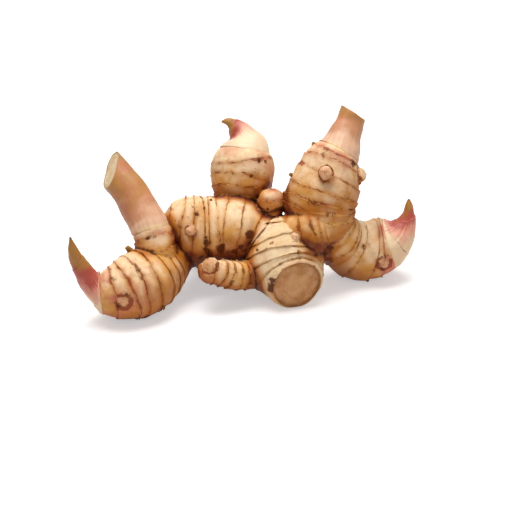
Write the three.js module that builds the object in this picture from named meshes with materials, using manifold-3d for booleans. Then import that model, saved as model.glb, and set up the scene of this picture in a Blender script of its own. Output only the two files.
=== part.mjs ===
// A whole rhizome of galangal with its cut stems and its young shoots, in millimetres, +Z up.
// It lies as it would on a table: three thick branches and a hidden one at the back touch the ground.
// The origin is on the ground under the middle of the object, +X runs to its right and +Y to its back.
//
// The rhizome grew as one piece, so it is one solid: every branch is turned as a swelling round body,
// stepped at its leaf scars, bent along its own axis and joined to the rest. The stems and shoots are
// rolls of leaf sheaths that stand on a branch's last leaf scar, and each is a solid of its own.
import * as THREE from "three";
import Module from "manifold-3d";
import { mergeVertices } from "three/addons/utils/BufferGeometryUtils.js";

const wasm = await Module();
wasm.setup();

// Driving dimensions
const LEDGE = 0.9; // step in radius at a leaf scar
const LEDGE_RUN = 0.002; // share of a branch's length that the step takes
const SEAM = 0.3; // gap between a branch's last scar and the sheath that stands on it
const BEND = 1.25; // tightest turn of the cross-sections, in radii
const LEAST_ADVANCE = 0.2; // how slowly sections may follow one another where an axis leaves them sideways
const CUTTER = 400; // edge of the block that stands for a knife cut or for the table

// Fineness of the mesh
const FACETS = 24; // flats round a branch
const BUD_FACETS = 10; // flats round a bud
const NODE_ROWS = 2; // rows from one leaf scar to the next
const SHEATH_ROWS = 10; // rows along a stem or a shoot
const STEPS = 64; // cross-sections worked out along an axis
const WELD = 1e-4; // points closer than this are one

// Branches of the rhizome. axis: points along the middle line. girth: [share of the way along, radius].
// scars: shares of the way along where a leaf was attached.
const branches = {
  left_bulb: {
    axis: [
      [-35, -5, 28.5], [-44, -14, 21.5], [-52, -24, 18], [-59.5, -33, 16.5],
      [-67.5, -38, 16.5], [-73, -39.5, 16.8], [-78, -40, 17.2],
    ],
    girth: [[0, 9], [0.2, 12], [0.4, 15.2], [0.6, 17], [0.8, 15.8], [0.92, 13], [1, 11]],
    scars: [0.32, 0.43, 0.54, 0.66, 0.78, 0.89],
  },
  left_body: {
    axis: [[-12, 0, 34], [-24, 0, 34], [-33, -1, 34.5], [-40.5, -2.5, 34.5], [-44.5, -3.5, 33.5]],
    girth: [[0, 13], [0.12, 16.6], [0.4, 18.8], [0.65, 19], [0.85, 16.4], [1, 9]],
    scars: [0.12, 0.28, 0.42, 0.57, 0.72, 0.87],
  },
  left_neck: {
    axis: [[-48, -23, 18], [-50, -21, 26.5], [-50.7, -19.4, 34.5], [-53, -15.8, 41.5]],
    girth: [[0, 8], [0.35, 10.8], [0.7, 9.8], [1, 9.6]],
    scars: [0.45, 0.62, 0.8],
  },
  middle_body: {
    axis: [
      [-27.5, 0, 34], [-17.5, 0, 34.5], [-8.5, 0, 35], [3, -1, 34],
      [13, -4, 33], [22, -7, 34.5], [30.5, -9, 38], [39, -9.5, 42.5],
    ],
    girth: [[0, 13], [0.1, 16.6], [0.27, 17.8], [0.36, 16.2], [0.46, 12], [0.57, 10.6], [0.8, 11.8], [0.93, 10.8], [1, 7]],
    scars: [0.1, 0.22, 0.34, 0.44, 0.56, 0.68, 0.8, 0.91],
  },
  top_bulb: {
    axis: [[-7.5, 10, 39.5], [-6.8, 15, 47.3], [-4.4, 21, 59.8], [-2.7, 27, 70.8]],
    girth: [[0, 9], [0.24, 12.6], [0.4, 15.6], [0.6, 17.4], [0.78, 17.2], [0.9, 15.5], [1, 12.9]],
    scars: [0.27, 0.41, 0.6, 0.79],
  },
  small_bud: {
    axis: [[10.4, 0, 38.5], [11.2, 2, 46], [11.7, 3.5, 53], [11.8, 4.5, 57.4]],
    girth: [[0, 4.2], [0.25, 5.4], [0.5, 6.6], [0.75, 6.3], [0.92, 4.3], [1, 1.5]],
    scars: [0.4, 0.7],
  },
  right_tower: {
    axis: [[41, -1, 28], [39, -0.4, 38], [38.2, 3, 49], [41.2, 8, 60], [44.6, 12, 69.2], [48, 15, 74.5]],
    girth: [[0, 9], [0.08, 13], [0.18, 16.6], [0.34, 19], [0.5, 19.7], [0.66, 18.9], [0.8, 16.8], [0.92, 14.8], [1, 12.4]],
    scars: [0.16, 0.26, 0.36, 0.47, 0.58, 0.7, 0.82, 0.93],
  },
  right_bulb: {
    axis: [[38, -5, 38], [45, 2, 31], [52, 9, 23], [60, 13, 17], [69, 14, 16.8], [79, 13, 21.8]],
    girth: [[0, 9], [0.2, 13.8], [0.4, 14.8], [0.6, 16.6], [0.78, 17.2], [0.9, 16.2], [1, 14.2]],
    scars: [0.3, 0.42, 0.54, 0.66, 0.78, 0.89],
  },
  front_bulb: {
    axis: [[14.5, 3.5, 35], [17.8, -6, 26.8], [19.7, -13, 19], [22.2, -20.5, 16.1], [25, -28.5, 15.3]],
    girth: [[0, 12.5], [0.25, 19.5], [0.48, 21.2], [0.7, 19.5], [0.85, 16.8], [0.94, 15.4], [1, 13.4]],
    scars: [0.16, 0.27, 0.38, 0.49, 0.6, 0.72],
  },
  front_finger: {
    axis: [[5.5, -15, 15], [-8, -23, 18], [-18, -27, 22], [-26.5, -30, 24]],
    girth: [[0, 6.5], [0.4, 7.8], [0.64, 7.2], [0.78, 6.4], [0.9, 6.2], [1, 3.5]],
    scars: [0.3, 0.42, 0.54, 0.68, 0.82],
  },
  back_bulb: {
    axis: [[-19, 3, 34], [-22, 20, 26], [-25, 36, 15.5], [-28, 51, 13]],
    girth: [[0, 9], [0.35, 14], [0.65, 16], [0.88, 13], [1, 6]],
    scars: [0.3, 0.43, 0.56, 0.69, 0.82],
  },
};

// Round dormant buds: centre and radius
const buds = [
  { at: [-31, -19, 42.5], radius: 2.8 },
  { at: [40, -10, 71.8], radius: 4 },
  { at: [59, 7, 64], radius: 4 },
  { at: [-21.3, -31, 28], radius: 3.8 },
  { at: [24.5, -13, 38.5], radius: 2.6 },
  { at: [-65, -49, 16.5], radius: 4 },
];

// Stems: rolled leaf sheaths cut off by a knife. cut: a point of the cut face and the way it looks.
const stems = {
  stem_left: {
    on: "left_neck",
    axis: [[-55.3, -12.8, 46], [-59.3, -8.3, 51.5], [-66, -1, 60], [-75, 6, 67.5], [-84, 13, 75]],
    girth: [[0, 9.6], [0.2, 9.7], [0.45, 9.5], [0.75, 9], [1, 9.2]],
    cut: { at: [-75, 6, 67.5], normal: [-0.88, -0.32, 0.35] },
  },
  stem_right: {
    on: "right_tower",
    axis: [[51.5, 20, 83], [54, 23.5, 87.5], [59.5, 31, 101]],
    girth: [[0, 12.3], [0.25, 9.5], [0.5, 7.8], [1, 7.4]],
    cut: { at: [56, 27, 93.5], normal: [0.5, 0.4, 0.78] },
  },
};

// Shoots: pointed buds wrapped in coloured sheaths
const shoots = {
  shoot_left: {
    on: "left_bulb",
    axis: [[-81, -41, 21], [-84.5, -42, 27], [-88, -43, 35], [-90, -44, 43], [-91, -45, 50.5]],
    girth: [[0, 10.8], [0.12, 8.4], [0.35, 5.4], [0.6, 4.2], [0.8, 2.6], [1, 0.4]],
  },
  shoot_top: {
    on: "top_bulb",
    axis: [
      [-2.7, 30, 76.1], [-4, 31, 79], [-6, 32, 81.8], [-8.7, 33, 83.9],
      [-11.8, 33, 85.4], [-14.2, 33, 85.7], [-15.8, 33, 85.4],
    ],
    girth: [[0, 12.7], [0.24, 11], [0.38, 8.4], [0.53, 6.2], [0.69, 4], [0.83, 2.3], [0.93, 1.2], [1, 0.4]],
  },
  shoot_right: {
    on: "right_bulb",
    axis: [[84.3, 14, 27.5], [87, 15, 33], [88.3, 16, 38.5], [88, 17, 45.8]],
    girth: [[0, 14], [0.14, 12.2], [0.28, 9.6], [0.51, 6], [0.72, 3.2], [0.88, 1.7], [1, 0.4]],
  },
};

const vector = ([x, y, z]) => new THREE.Vector3(x, y, z);

// The radius at a share of the way along an axis, without leaf scars.
function girthAt(girth, share) {
  const curve = new THREE.CubicInterpolant(girth.map(([s]) => s), girth.map(([, r]) => r), 1);
  return curve.evaluate(share)[0];
}

// Rows of a lathe profile as Vector2(radius, share), stepped at each leaf scar.
function scarredProfile({ girth, scars = [] }) {
  const ends = [0, ...scars, 1];
  const rows = [new THREE.Vector2(0, 0)];
  ends.slice(1).forEach((to, i) => {
    const from = ends[i];
    const count = scars.length ? NODE_ROWS : SHEATH_ROWS;
    for (let k = 0; k <= count; k += 1) {
      const share = from + ((to - from) * k) / count;
      const step = scars.length ? LEDGE * (k / count - 0.5) : 0;
      const run = k === 0 && i > 0 ? LEDGE_RUN : 0;
      rows.push(new THREE.Vector2(girthAt(girth, share) + step, share + run));
    }
  });
  rows.push(new THREE.Vector2(0, 1));
  return rows;
}

// Frames of the cross-sections along an axis. Each one turns towards the axis, but never so fast that
// neighbours would cross on the inside of a bend.
function sectionFrames(curve, girth, start = curve.getTangentAt(0)) {
  const stride = curve.getLength() / STEPS;
  const facing = start.clone();
  const upright = Math.abs(facing.z) > Math.hypot(facing.x, facing.y);
  const across = new THREE.Vector3(upright ? 1 : 0, 0, upright ? 0 : 1).cross(facing);
  return Array.from({ length: STEPS + 1 }, (_, i) => {
    across.addScaledVector(facing, -across.dot(facing)).normalize();
    const frame = { facing: facing.clone(), across: across.clone(), beside: facing.clone().cross(across) };
    const tangent = curve.getTangentAt(Math.min(1, (i + 1) / STEPS));
    const off = facing.angleTo(tangent);
    const most = (stride * Math.max(Math.cos(off), LEAST_ADVANCE)) / (BEND * girthAt(girth, i / STEPS));
    facing.lerp(tangent, off > most ? most / off : 1).normalize();
    return frame;
  });
}

// Bends a lathe form, whose height runs from 0 to 1, along a curve.
function bendAlong(geometry, curve, frames) {
  const place = geometry.getAttribute("position");
  for (let i = 0; i < place.count; i += 1) {
    const share = THREE.MathUtils.clamp(place.getY(i), 0, 1);
    const low = Math.min(Math.floor(share * STEPS), STEPS - 1);
    const rest = share * STEPS - low;
    const between = (key) => frames[low][key].clone().lerp(frames[low + 1][key], rest).normalize();
    const point = curve.getPointAt(share)
      .addScaledVector(between("across"), place.getX(i))
      .addScaledVector(between("beside"), -place.getZ(i));
    place.setXYZ(i, point.x, point.y, point.z);
  }
  return geometry;
}

function solid(geometry) {
  const bare = geometry.clone();
  bare.deleteAttribute("normal");
  bare.deleteAttribute("uv");
  const merged = mergeVertices(bare, WELD);
  return new wasm.Manifold(new wasm.Mesh({
    numProp: 3,
    vertProperties: merged.getAttribute("position").array,
    triVerts: new Uint32Array(merged.index.array),
  }));
}

function grownSolid(spec, curve, start) {
  const turned = new THREE.LatheGeometry(scarredProfile(spec), FACETS);
  return solid(bendAlong(turned, curve, sectionFrames(curve, spec.girth, start)));
}

const curveOf = (points) => new THREE.CatmullRomCurve3(points.map(vector), false, "centripetal");

// A block whose near face lies at a point and looks back along the normal: what a knife takes off.
function cutOff({ at, normal }) {
  const towards = vector(normal).normalize();
  const block = new THREE.BoxGeometry(CUTTER, CUTTER, CUTTER).translate(0, 0, CUTTER / 2);
  block.applyQuaternion(new THREE.Quaternion().setFromUnitVectors(new THREE.Vector3(0, 0, 1), towards));
  return solid(block.translate(...at));
}

function budSolid({ at, radius }) {
  return solid(new THREE.SphereGeometry(radius, BUD_FACETS, BUD_FACETS / 2).translate(...at));
}

// A sheath roll: it stands on its branch's last scar and leaves it in the branch's own direction.
function sheathSolid(spec) {
  const branch = branches[spec.on];
  const base = curveOf(branch.axis);
  const out = sectionFrames(base, branch.girth)[STEPS].facing;
  const foot = base.getPointAt(1).addScaledVector(out, SEAM);
  const whole = grownSolid(spec, curveOf([foot.toArray(), ...spec.axis]), out);
  return spec.cut ? whole.subtract(cutOff(spec.cut)) : whole;
}

function rhizomeSolid() {
  const pieces = Object.values(branches).map((spec) => grownSolid(spec, curveOf(spec.axis)));
  const whole = [...pieces.slice(1), ...buds.map(budSolid)].reduce((sum, piece) => sum.add(piece), pieces[0]);
  const table = cutOff({ at: [0, 0, 0], normal: [0, 0, -1] });
  return whole.subtract(table);
}

function meshOf(name, shape, material) {
  const { numVert, numProp, vertProperties, triVerts } = shape.getMesh();
  const place = new Float32Array(numVert * 3);
  for (let i = 0; i < numVert; i += 1) {
    place.set(vertProperties.subarray(i * numProp, i * numProp + 3), i * 3);
  }
  const geometry = new THREE.BufferGeometry()
    .setAttribute("position", new THREE.BufferAttribute(place, 3))
    .setIndex(new THREE.BufferAttribute(triVerts, 1));
  geometry.computeVertexNormals();
  const mesh = new THREE.Mesh(geometry, material);
  mesh.name = name;
  return mesh;
}

const skin = new THREE.MeshStandardMaterial({ color: "#ddb98a", roughness: 0.55, metalness: 0 });
const stemSheath = new THREE.MeshStandardMaterial({ color: "#cf9f78", roughness: 0.5, metalness: 0 });
const shootSheath = new THREE.MeshStandardMaterial({ color: "#c4685f", roughness: 0.45, metalness: 0 });

const galangal = new THREE.Group();
galangal.add(meshOf("rhizome", rhizomeSolid(), skin));
Object.entries(stems).forEach(([name, spec]) => galangal.add(meshOf(name, sheathSolid(spec), stemSheath)));
Object.entries(shoots).forEach(([name, spec]) => galangal.add(meshOf(name, sheathSolid(spec), shootSheath)));

export default galangal;
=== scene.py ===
import math

import bpy
import numpy as np
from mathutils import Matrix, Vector, noise
from mathutils.kdtree import KDTree


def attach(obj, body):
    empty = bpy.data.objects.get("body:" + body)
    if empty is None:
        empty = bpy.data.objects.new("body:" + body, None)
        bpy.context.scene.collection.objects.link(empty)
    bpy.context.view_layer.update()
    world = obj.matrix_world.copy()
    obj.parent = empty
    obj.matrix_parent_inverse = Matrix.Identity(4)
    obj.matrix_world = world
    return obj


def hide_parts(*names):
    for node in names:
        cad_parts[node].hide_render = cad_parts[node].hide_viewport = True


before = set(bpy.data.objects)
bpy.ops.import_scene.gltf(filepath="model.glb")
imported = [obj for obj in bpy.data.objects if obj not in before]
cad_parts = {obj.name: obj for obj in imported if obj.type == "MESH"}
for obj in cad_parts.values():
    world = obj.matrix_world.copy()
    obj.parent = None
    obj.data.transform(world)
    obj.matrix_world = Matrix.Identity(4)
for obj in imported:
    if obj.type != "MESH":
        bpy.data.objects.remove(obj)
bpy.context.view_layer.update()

# ----------------------------------------------------- rhizome
# The rhizome is one living piece: thick branches of fibrous flesh under a thin cork skin. Every branch
# swells between rings where a leaf was attached, and each ring keeps the torn brown foot of its leaf.
# The branches are grown one by one round their own axes, in millimetres, and then made one skin.

MM = 0.001  # the tables below are in millimetres
STEPS = 96  # cross-sections worked out along an axis
CURVE_POINTS = 40  # points of the axis worked out between two given ones
BEND = 1.25  # tightest turn of the cross-sections, in radii
AROUND = 112  # points round a branch
LEDGE = 0.62  # mean step in radius at a leaf scar
LIP = 0.28  # how far the torn edge of a scar stands out
LIP_REACH = 0.9  # how far below the scar the torn edge begins
WAVE = 0.7  # how far a scar wanders along the branch
CLOSEST = 0.6  # two scars never come nearer to each other than this
FAR = 3.0  # past this distance a leaf scar no longer shows
YOUNG = 0.55  # past this share of its length a branch is young: redder, and paler under a stem or shoot
YOUNG_TONE = -0.18  # how much paler
GRAIN_RADIUS = 16  # the grain of the skin is laid out as if this were the radius of every branch
FILLET = 6.0  # reach of the fillet between two branches
SHADE_REACH = 8.0  # how far from another branch the painted shade reaches
SEAM_DARK_REACH = 2.2  # and how far the darkest band along a seam reaches
SEAM_REACH = 1.6  # how far the seam between two branches is eased
TUCK = 0.8  # how far the end of a branch draws in under the stem or shoot that stands on it
TUCK_REACH = 1.6  # along this much of the branch

# A branch has an axis through points, its girth as radii at shares of the axis, and its leaf scars: where
# each crosses the axis, as a share, and how far it leans to either side. Age makes its skin browner, blush
# its young end redder, and shelter scales the painted shade it takes beside other branches. Its own ledge
# can replace LEDGE, end_age adds to the age of its far end, and a stem or a shoot stands on an open end.
branches = {
    "left_bulb": {
        "axis": [(-35, -5, 28.5), (-44, -14, 21.8), (-52, -24, 18.8), (-59.5, -33, 17.6),
                 (-67.5, -38, 17.4), (-73, -39.5, 17.3), (-78, -40, 17.4)],
        "girth": [(0, 9), (0.2, 12), (0.4, 15.6), (0.6, 17.6), (0.8, 16.3), (0.92, 13.3), (1, 11)],
        "scars": [(0.28, 0, 0), (0.38, 0, 0), (0.48, 1, 0), (0.58, 2.5, 0.5), (0.72, -1, 1.5),
                  (0.79, -0.4, 3.2), (0.91, -1.4, 1)],
        "age": 0.1,
        "blush": 0.9,
        "open_end": True,
    },
    "left_body": {
        "axis": [(-12, 0, 34), (-24, 0, 34), (-33, -1, 34.5), (-40.5, -2.5, 34.5), (-44.5, -3.5, 33.5)],
        "girth": [(0, 13), (0.12, 16.6), (0.4, 18.8), (0.65, 19), (0.85, 16.4), (1, 9)],
        "scars": [(0.33, -1, 0), (0.47, -2.5, -0.6), (0.635, 0.6, -2), (0.8, 3.5, -3), (0.91, 2, -1)],
    },
    "left_neck": {
        "axis": [(-48, -23, 18), (-50, -21, 26.5), (-50.7, -19.4, 34.5), (-53, -15.8, 41.5)],
        "girth": [(0, 8), (0.35, 10.8), (0.7, 9.8), (1, 9.6)],
        "scars": [(0.4, 0, 0), (0.62, 0, 0), (0.8, 0.5, 0)],
        "blush": 0.45,
        "shelter": 0.6,
        "open_end": True,
    },
    "middle_body": {
        "axis": [(-27.5, 0, 34), (-17.5, 0, 34.5), (-8.5, 0, 35), (3, -1, 34),
                 (13, -4, 33), (22, -7, 34.5), (31, -10, 38), (41.5, -11.5, 41)],
        "girth": [(0, 13), (0.1, 16.6), (0.27, 17.8), (0.36, 16.2), (0.46, 12),
                  (0.57, 10.6), (0.8, 12.2), (0.93, 11.8), (1, 8)],
        "scars": [(0.125, -2, 1), (0.196, 1, 2), (0.275, -1.5, 3.5), (0.457, 1.3, 1), (0.55, 0, 0),
                  (0.64, 0, 0), (0.74, 0, 0), (0.82, -1, 0), (0.89, -2, -0.6), (0.95, -1, 0)],
        "end_age": 0.15,
    },
    "top_bulb": {
        "axis": [(-7.5, 10, 39.5), (-6.8, 15, 47.3), (-4.4, 21, 59.8), (-2.7, 27, 70.8)],
        "girth": [(0, 9), (0.24, 12.6), (0.4, 15.6), (0.6, 17.4), (0.78, 17.3), (0.9, 16), (1, 13.9)],
        "scars": [(0.27, 0, 0), (0.41, 0.7, 1.2), (0.53, 3, 0.7), (0.82, -1.6, 3.9)],
        "blush": 0.55,
        "ledge": 0.25,
        "age": -0.02,
        "shelter": 0.4,
        "open_end": True,
    },
    "small_bud": {
        "axis": [(10.4, 0, 38.5), (11.2, 2, 46), (11.7, 3.5, 53), (11.8, 4.5, 57.4)],
        "girth": [(0, 4.2), (0.25, 5.4), (0.5, 6.6), (0.75, 6.3), (0.92, 4.3), (1, 1.5)],
        "scars": [(0.4, 0.5, 0), (0.7, 0, 0.8)],
        "blush": 0.9,
        "age": -0.12,
        "shelter": 0.5,
    },
    "right_tower": {
        "axis": [(41, -1, 28), (39, -0.4, 38), (38.2, 3, 49),
                 (41.2, 8, 60), (44.6, 12, 69.2), (48, 15, 74.5)],
        "girth": [(0, 9), (0.08, 13), (0.18, 16.6), (0.34, 19), (0.5, 19.7),
                  (0.66, 18.9), (0.8, 16.8), (0.92, 14.8), (1, 12.4)],
        "scars": [(0.15, 0, 0), (0.25, 0, -1.5), (0.355, -0.5, -3.2), (0.4, 1.2, -3.7), (0.56, -2.3, -1.4),
                  (0.715, 0.3, -2.1), (0.866, -0.7, 0.2), (0.955, -1.3, 0.8)],
        "age": 0.07,
        "blush": 0.55,
        "open_end": True,
    },
    "right_bulb": {
        "axis": [(38, -5, 38), (45, 2, 31), (52, 9, 23), (60, 13, 17), (69, 14, 16.8), (79, 13, 21.8)],
        "girth": [(0, 9), (0.2, 13.8), (0.4, 14.8), (0.6, 16.6), (0.78, 17.2), (0.9, 16.2), (1, 14.2)],
        "scars": [(0.2, 2, 4.5), (0.28, 1.3, 2.6), (0.39, 3.5, 0), (0.57, 5.5, -2), (0.777, 0.3, 2.1),
                  (0.885, 0, 1.5)],
        "age": -0.1,
        "blush": 1.0,
        "open_end": True,
    },
    "front_bulb": {
        "axis": [(14.5, 3.5, 35), (17.8, -6, 26.8), (19.7, -13, 19),
                 (22.2, -20.5, 16.1), (25, -28.5, 15.3)],
        "girth": [(0, 12.5), (0.25, 19.5), (0.48, 21.2), (0.7, 19.5),
                  (0.85, 16.8), (0.94, 15.4), (1, 13.4)],
        "scars": [(0.18, 5, -1), (0.32, -0.3, -0.4), (0.5, 2, -2.8), (0.69, 2.6, 2.1), (0.82, 1, 4.5)],
        "age": -0.34,
    },
    "front_finger": {
        "axis": [(5.5, -15, 15), (-8, -23, 18), (-18, -27, 22), (-26.5, -30, 24)],
        "girth": [(0, 6.5), (0.4, 7.8), (0.64, 7.2), (0.78, 6.4), (0.9, 6.2), (1, 3.5)],
        "scars": [(0.3, 0, 0.5), (0.42, 0, 0), (0.54, 0.5, 0), (0.68, -0.5, 0), (0.82, 0, 0)],
        "blush": 0.35,
        "shelter": 0.6,
    },
    "back_bulb": {
        "axis": [(-19, 3, 34), (-22, 20, 26), (-25, 36, 15.5), (-28, 51, 13)],
        "girth": [(0, 9), (0.35, 14), (0.65, 16), (0.88, 13), (1, 6)],
        "scars": [(0.3, 1, 0), (0.43, 0, 1.5), (0.56, -1, 1), (0.69, 1.5, 0), (0.82, 0, -1)],
        "blush": 0.3,
    },
}


def run_between(s, a, b, slope_a, slope_b, width=1):
    """A cubic from a to b, at the shares s of a stretch of this width, with the slope given at each end."""
    return ((2 * s**3 - 3 * s**2 + 1) * a + (s**3 - 2 * s**2 + s) * width * slope_a
            + (3 * s**2 - 2 * s**3) * b + (s**3 - s**2) * width * slope_b)


def even_line(points):
    """Points at even shares of a centripetal Catmull-Rom curve through the given ones, and its length."""
    knots = np.array(points, float)
    padded = np.vstack([2 * knots[0] - knots[1], knots, 2 * knots[-1] - knots[-2]])
    s = np.linspace(0, 1, CURVE_POINTS)[:, None]
    dense = [knots[:1]]
    for p0, p1, p2, p3 in zip(padded, padded[1:], padded[2:], padded[3:]):
        d0, d1, d2 = (np.linalg.norm(b - a) ** 0.5 for a, b in ((p0, p1), (p1, p2), (p2, p3)))
        t1 = ((p1 - p0) / d0 - (p2 - p0) / (d0 + d1) + (p2 - p1) / d1) * d1
        t2 = ((p2 - p1) / d1 - (p3 - p1) / (d1 + d2) + (p3 - p2) / d2) * d1
        dense.append(run_between(s, p1, p2, t1, t2)[1:])
    line = np.vstack(dense)
    run = np.concatenate([[0], np.cumsum(np.linalg.norm(np.diff(line, axis=0), axis=1))])
    even = np.linspace(0, run[-1], STEPS + 1)
    return np.stack([np.interp(even, run, line[:, k]) for k in range(3)], axis=1), run[-1]


def girth_at(girth, share):
    """The radius at a share of the way along an axis, without leaf scars."""
    t, r = np.array(girth, float).T
    secant = np.diff(r) / np.diff(t)
    slope = np.concatenate([secant[:1], (secant[1:] + secant[:-1]) / 2, secant[-1:]])
    i = np.clip(np.searchsorted(t, share, side="right") - 1, 0, len(t) - 2)
    width = t[i + 1] - t[i]
    return run_between((share - t[i]) / width, r[i], r[i + 1], slope[i], slope[i + 1], width)


def unit(v):
    return v / np.linalg.norm(v, axis=-1, keepdims=True)


def sections(line, length, girth, start=None):
    """Facing, across and beside of each cross-section. A section turns towards the axis, but never so fast
    that neighbours would cross on the inside of a bend."""
    tangent = unit(np.gradient(line, axis=0))
    facing = tangent[0] if start is None else np.array(start, float)
    across = np.cross((1, 0, 0) if abs(facing[2]) > math.hypot(facing[0], facing[1]) else (0, 0, 1), facing)
    frames = []
    for i in range(STEPS + 1):
        across = unit(across - facing * (across @ facing))
        frames.append((facing, across, np.cross(facing, across)))
        goal = tangent[min(i + 1, STEPS)]
        off = math.acos(min(1, max(-1, facing @ goal)))
        most = (length / STEPS) * max(math.cos(off), 0.2) / (BEND * girth_at(girth, i / STEPS))
        facing = unit(facing + (goal - facing) * min(1, most / max(off, 1e-6)))
    return [np.array(part) for part in zip(*frames)]


def between(rows, share):
    """Rows of an even table, read at any share of the way."""
    low = np.clip((share * STEPS).astype(int), 0, STEPS - 1)
    rest = (share * STEPS - low)[..., None]
    return rows[low] * (1 - rest) + rows[low + 1] * rest


def outward_at(angle, across, beside, share):
    """The way out of an axis, at each angle round it and each share of the way along."""
    return (np.cos(angle)[:, None] * unit(between(across, share))
            + np.sin(angle)[:, None] * unit(between(beside, share)))


def grain_at(angle, share, length, radius):
    """Where each point lies on its own branch, as if that were straight: along it first."""
    round_it = np.stack([radius * np.cos(angle), radius * np.sin(angle)], axis=-1)
    return np.concatenate([share[..., None] * length, round_it + 0 * share[..., None]], axis=-1)


def smooth_fall(x):
    """A soft step from 0 to 1."""
    x = np.clip(x, 0, 1)
    return x * x * (3 - 2 * x)


def full_turn(around):
    return np.arange(around) * (2 * math.pi / around)


def ripple(rng, angle, terms, falloff):
    """A smooth random wave round a ring, about 1 high."""
    k = np.arange(1, terms + 1)
    size = rng.normal(size=terms) / k**falloff
    phase = rng.uniform(0, 2 * math.pi, terms)
    waves = size[:, None] * np.cos(k[:, None] * angle + phase[:, None])
    return waves.sum(axis=0) / math.sqrt((1 / k**falloff).sum())


# Rows between two scars, crowded where the surface steps
INTERNODE_ROWS = np.array([0, 0.02, 0.05, 0.1, 0.18, 0.29, 0.41, 0.53, 0.65, 0.77, 0.87, 0.935, 0.97, 1])


def grow(spec, seed, around=AROUND, ledge=LEDGE, lip=LIP, wave=WAVE, end_ring=True):
    """One bent, ringed form: its points in rows, and for every point where it lies."""
    rng = np.random.default_rng(seed)
    angle = full_turn(around)
    line, length = even_line(spec["axis"])
    facing, across, beside = sections(line, length, spec["girth"])
    rings = [np.zeros(around)]
    for share, lean_across, lean_beside in spec["scars"]:
        wander = wave * (0.7 * ripple(rng, angle, 6, 0.8) + 0.35 * ripple(rng, angle, 22, 0.3))
        lean = lean_across * np.cos(angle) + lean_beside * np.sin(angle)
        rings.append(np.maximum(share + (lean + wander) / length, rings[-1] + CLOSEST / length))
    rings.append(np.maximum(np.ones(around), rings[-1] + CLOSEST / length))
    f = INTERNODE_ROWS[:, None]
    share, step, past, ahead = [], [], [], []
    for k, (low, high) in enumerate(zip(rings, rings[1:])):
        gap = (high - low) * length
        depth = spec.get("ledge", ledge) * (1 + 0.45 * ripple(rng, angle, 9, 0.5))
        torn = lip * np.clip(0.5 + 1.1 * ripple(rng, angle, 30, 0.15), 0, 2)
        last = k == len(rings) - 2
        rise = depth * (f - 0.5) * (1 if end_ring or not last else 1 - f)
        if not last:
            rise = rise + torn * np.clip(1 - (1 - f) * gap / LIP_REACH, 0, 1) ** 2
        share.append(low + (high - low) * f)
        step.append(rise)
        past.append(f * gap + (FAR if k == 0 else 0))
        ahead.append((1 - f) * gap + (FAR if last and not end_ring else 0))
    share, step, past, ahead = (np.vstack(part) for part in (share, step, past, ahead))
    share = np.clip(share, 0, 1)
    tucked_in = 0 if end_ring else TUCK * smooth_fall(1 - (1 - share) * length / TUCK_REACH)
    radius = girth_at(spec["girth"], share) + step - tucked_in
    out = outward_at(angle, across, beside, share)
    young = smooth_fall((share - YOUNG) / (1 - YOUNG))
    end_tone = YOUNG_TONE if "open_end" in spec else spec.get("end_age", 0)
    return {
        "points": between(line, share) + radius[..., None] * out,
        "out": out,
        "past": np.minimum(past, FAR),
        "ahead": np.minimum(ahead, FAR),
        "lay": grain_at(angle, share, length, GRAIN_RADIUS),
        "blush": spec.get("blush", 0) * young,
        "age": spec.get("age", 0) + end_tone * young,
        "run": unit(between(facing, share)),
        "cut": np.zeros(share.shape),
        "share": share,
        "line": line,
        "reach": girth_at(spec["girth"], np.linspace(0, 1, STEPS + 1)),
        "facing": facing,
    }


form = {name: grow(spec, seed, end_ring="open_end" not in spec)
        for seed, (name, spec) in enumerate(branches.items())}


def clearance(points, other):
    """Signed distance from points to another form, and the way out of that form."""
    flat = points.reshape(-1, 3)
    best = np.full(len(flat), 1e9)
    way = np.zeros_like(flat)
    for at, reach in zip(other["line"], other["reach"]):
        away = flat - at
        far = np.linalg.norm(away, axis=1)
        near = far - reach < best
        best = np.where(near, far - reach, best)
        way = np.where(near[:, None], away / np.maximum(far, 1e-6)[:, None], way)
    return best.reshape(points.shape[:-1]), way.reshape(points.shape)


# Where two branches meet, both swell towards each other. The skin there takes painted shade, and is darkest
# brown in a narrow band along the seam.
for name, own in form.items():
    swell = np.zeros(own["share"].shape)
    crease = np.zeros(own["share"].shape)
    apart = np.full(own["share"].shape, 1e9)
    earth = np.zeros(own["share"].shape)
    for other_name, other in form.items():
        if other_name == name:
            continue
        gap, way = clearance(own["points"], other)
        facing_away = np.clip(1 - (own["out"] * way).sum(axis=-1), 0, 1)
        swell = np.maximum(swell, facing_away * np.clip(FILLET - np.abs(gap), 0, None) ** 2 / (4 * FILLET))
        crease = np.maximum(crease, facing_away * smooth_fall(1 - np.abs(gap) / SHADE_REACH))
        apart = np.minimum(apart, np.abs(gap))
        near_seam = np.clip(1 - np.abs(gap) / SEAM_DARK_REACH, 0, 1)
        earth = np.maximum(earth, smooth_fall(facing_away * 2 - 0.3) * near_seam)
    own["points"] = own["points"] + own["out"] * swell[..., None]
    own["crease"] = crease * branches[name].get("shelter", 1)
    own["seam"] = np.clip(1 - apart / SEAM_REACH, 0, 1)
    own["earth"] = earth

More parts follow.
